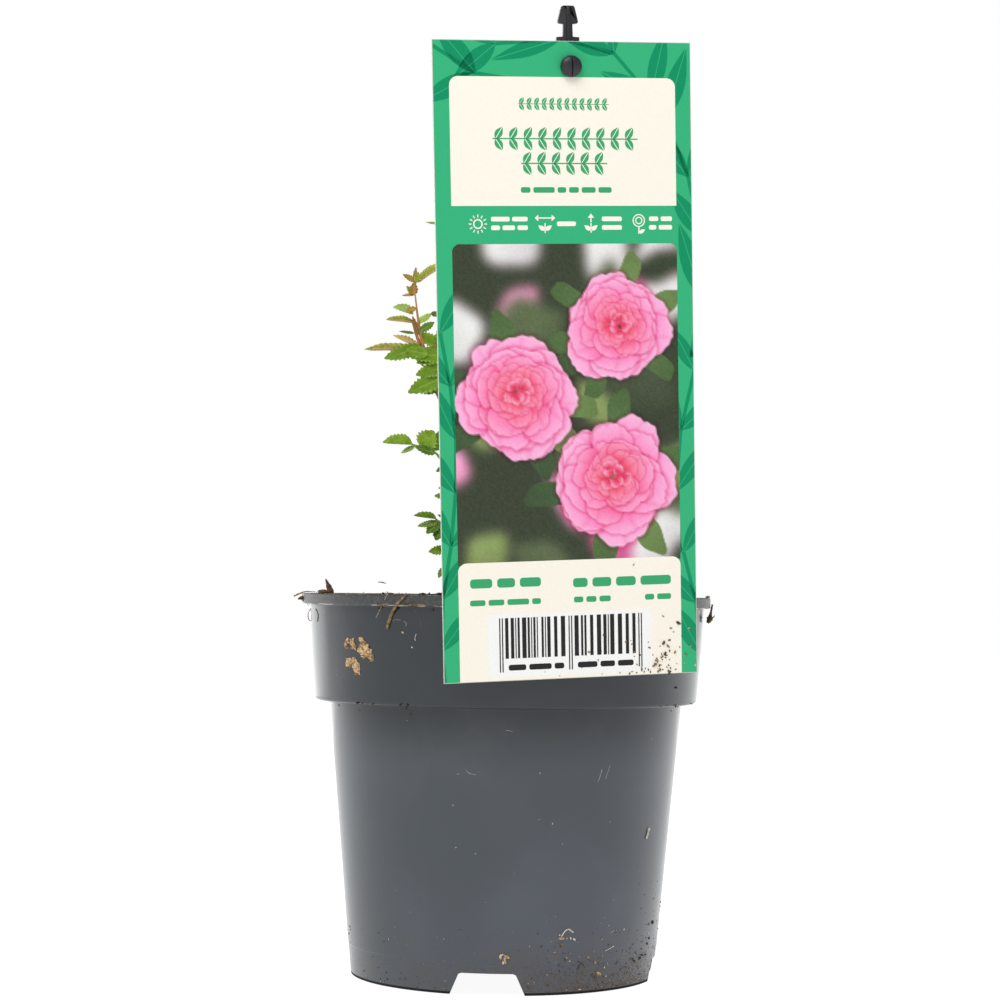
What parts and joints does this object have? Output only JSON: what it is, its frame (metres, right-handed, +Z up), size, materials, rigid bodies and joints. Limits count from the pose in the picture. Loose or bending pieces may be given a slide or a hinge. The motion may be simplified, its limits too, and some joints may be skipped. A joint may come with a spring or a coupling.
{
  "type": "rose bush",
  "caption": "Young rose bush in a tapered grower's pot, with upright canes, serrated pinnate leaves, compost and a printed card label on a plastic holder.",
  "frame": {"origin": "middle of the footprint, on the surface that the pot stands on; the pot's own axis is 10.4 mm behind it, because the card leans out over the front of the pot", "axes": "+Z up along the pot, -Y the side that the card is on, +X to the right as seen from the card's side"},
  "size_m": [0.13, 0.1508, 0.2928],
  "materials": {
    "pot_plastic": "satin slate-grey moulded plastic, dusty",
    "compost": "dark brown crumbly compost with bark bits",
    "cane_bark": "smooth green-brown bark, reddened on young wood",
    "leaf_green": "satin leaf, fresh green with red-tinted young leaves",
    "card_print": "smooth printed card, green border",
    "holder_plastic": "black moulded plastic"
  },
  "bodies": {
    "root": {"pot": "pot_plastic", "compost": "compost", "crown": "cane_bark", "cane_left": "cane_bark", "cane_back_left": "cane_bark", "cane_back_right": "cane_bark", "cane_right": "cane_bark", "cane_front": "cane_bark", "cane_middle": "cane_bark", "leaves_left_low": "leaf_green", "leaves_left_mid": "leaf_green", "leaves_back_left_low": "leaf_green", "leaves_back_right_low": "leaf_green", "leaves_right_low": "leaf_green", "leaves_front_low": "leaf_green", "shoot_left": "leaf_green", "shoot_back_left": "leaf_green", "shoot_back_right": "leaf_green", "shoot_right": "leaf_green", "shoot_front": "leaf_green", "shoot_middle": "leaf_green", "label_card": "card_print", "label_holder": "holder_plastic"}
  },
  "joints": []
}
